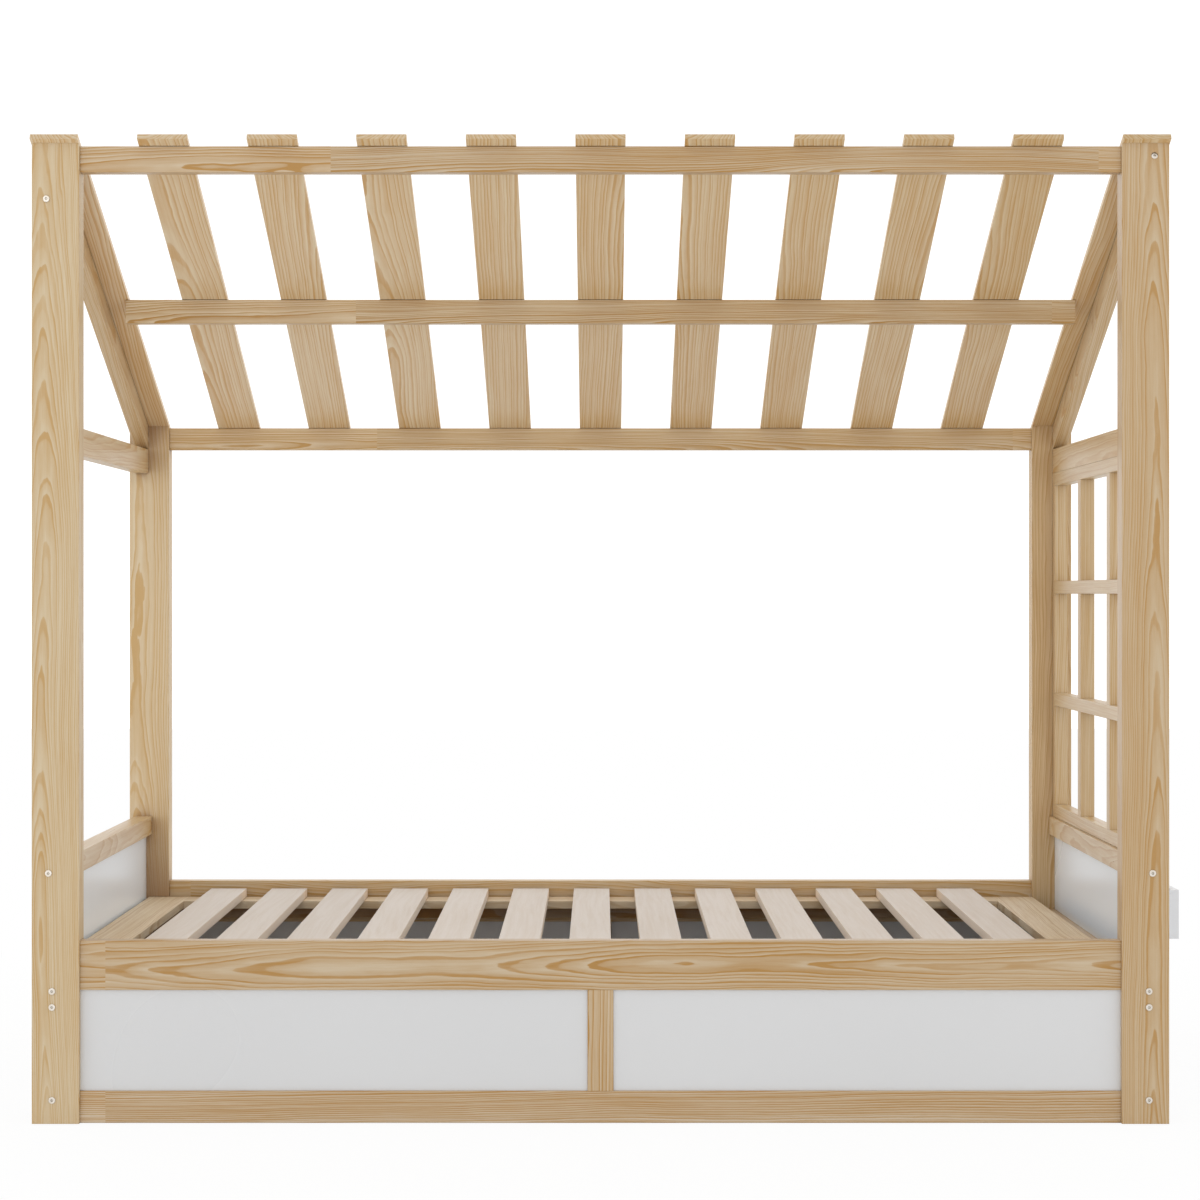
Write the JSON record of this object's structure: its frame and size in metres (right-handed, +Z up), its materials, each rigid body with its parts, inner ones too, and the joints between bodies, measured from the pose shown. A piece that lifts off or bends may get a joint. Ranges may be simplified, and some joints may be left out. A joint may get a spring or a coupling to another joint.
{
  "type": "house frame bed",
  "caption": "Children's house frame bed with a low panelled bed box, slatted base, lean-to roof of spaced slats on four posts, a window grille at one end and a flower box outside it",
  "frame": {"origin": "the middle of the footprint of the whole bed on the floor", "axes": "+X along the bed towards the window end, +Y from the open front to the back, +Z up"},
  "size_m": [2.09, 1.1198, 1.756],
  "materials": {
    "pine": "clear matt lacquer on knot-free jointed pine, tan with orange-brown grain",
    "white_lacquer": "smooth satin white paint on board",
    "slat_wood": "bare planed softwood, pale",
    "board_wood": "bare planed board, yellowish tan",
    "dowel_wood": "bare turned hardwood",
    "zinc": "zinc plate"
  },
  "bodies": {
    "root": {"post_front_left": "pine", "post_front_right": "pine", "post_rear_left": "pine", "post_rear_right": "pine", "ridge_beam": "pine", "purlin": "pine", "eave_beam": "pine", "rafter_left": "pine", "rafter_right": "pine", "rafter_heel_block": "pine", "tie_beam_left": "pine", "tie_beam_right": "pine", "roof_slat_01": "pine", "roof_slat_02": "pine", "roof_slat_03": "pine", "roof_slat_04": "pine", "roof_slat_05": "pine", "roof_slat_06": "pine", "roof_slat_07": "pine", "roof_slat_08": "pine", "roof_slat_09": "pine", "roof_slat_10": "pine", "roof_slat_11": "pine", "front_rail": "pine", "front_bottom_rail": "pine", "front_stile": "pine", "rear_rail": "pine", "rear_bottom_rail": "pine", "rear_stile": "pine", "left_guard_rail": "pine", "left_mid_rail": "pine", "left_bottom_rail": "pine", "right_guard_rail": "pine", "right_mid_rail": "pine", "right_bottom_rail": "pine", "window_stiles": "pine", "window_rails": "pine", "window_crossbars": "pine", "window_muntins": "pine", "slat_frame_cleats": "pine", "front_panel_left": "white_lacquer", "front_panel_right": "white_lacquer", "rear_panel_left": "white_lacquer", "rear_panel_right": "white_lacquer", "left_upper_panel": "white_lacquer", "left_lower_panel": "white_lacquer", "right_upper_panel": "white_lacquer", "right_lower_panel": "white_lacquer", "flower_box_long_boards": "white_lacquer", "flower_box_end_boards": "white_lacquer", "flower_box_bottom": "white_lacquer", "bed_slats": "slat_wood", "slat_frame_end_boards": "board_wood", "slat_frame_side_boards": "board_wood", "end_timber_bolts": "zinc", "long_rail_bolts": "zinc", "barrel_nuts": "zinc", "wood_screws": "zinc", "small_screws": "zinc", "wood_dowels": "dowel_wood"}
  },
  "joints": []
}
